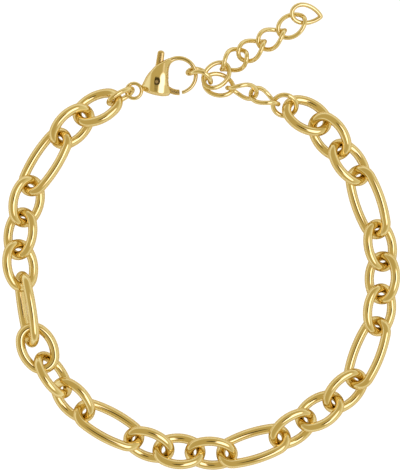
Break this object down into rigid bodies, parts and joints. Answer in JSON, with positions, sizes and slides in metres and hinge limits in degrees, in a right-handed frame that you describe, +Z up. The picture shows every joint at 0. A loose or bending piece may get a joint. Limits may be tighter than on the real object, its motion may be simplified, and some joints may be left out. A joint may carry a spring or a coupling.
{
  "type": "link bracelet",
  "caption": "Closed gold chain bracelet of oval wire links with a lobster claw, thumb lever, jump link and a fine extension chain with a free tail.",
  "frame": {"origin": "middle of the wrist opening, on the surface that the bracelet lies on", "axes": "+Z up out of the surface through the wrist opening, +Y from the middle of the loop to the clasp side, where the free tail goes past the loop, +X to the extension chain"},
  "size_m": [0.0633, 0.0747, 0.0062],
  "materials": {
    "chain_gold": "polished yellow gold plate",
    "clasp_gold": "polished yellow gold plate",
    "extension_gold": "polished yellow gold plate, thin wire"
  },
  "bodies": {
    "chain": {"link_01_short": "chain_gold", "link_02_short": "chain_gold", "link_03_long": "chain_gold", "link_04_short": "chain_gold", "link_05_short": "chain_gold", "link_06_short": "chain_gold", "link_07_long": "chain_gold", "link_08_short": "chain_gold", "link_09_short": "chain_gold", "link_10_short": "chain_gold", "link_11_long": "chain_gold", "link_12_short": "chain_gold", "link_13_short": "chain_gold", "link_14_short": "chain_gold", "link_15_long": "chain_gold", "link_16_short": "chain_gold", "link_17_short": "chain_gold", "link_18_short": "chain_gold", "link_19_long": "chain_gold", "link_20_short": "chain_gold", "link_21_short": "chain_gold", "link_22_short": "chain_gold", "link_23_long": "chain_gold", "link_24_short": "chain_gold", "link_25_short": "chain_gold", "link_26_short": "chain_gold", "jump_link": "chain_gold", "clasp_body": "clasp_gold", "clasp_pin": "clasp_gold", "ext_ring": "extension_gold", "ext_link_01": "extension_gold", "ext_link_02": "extension_gold", "ext_link_03": "extension_gold", "ext_link_04": "extension_gold", "tail_link_01": "extension_gold", "tail_link_02": "extension_gold", "tail_link_03": "extension_gold", "tail_link_04": "extension_gold", "tail_link_05": "extension_gold", "tail_end_ring": "extension_gold"},
    "lever": {"clasp_lever": "clasp_gold"}
  },
  "joints": [
    {"name": "lever_hinge", "type": "hinge", "parent": "chain", "child": "lever", "pos_m": [-0.00703, 0.02963, 0.0015], "axis": [0, 0, 1], "range_deg": [0, 20], "stiffness_Nm_per_rad": 0.004, "springref_deg": -20.05}
  ]
}
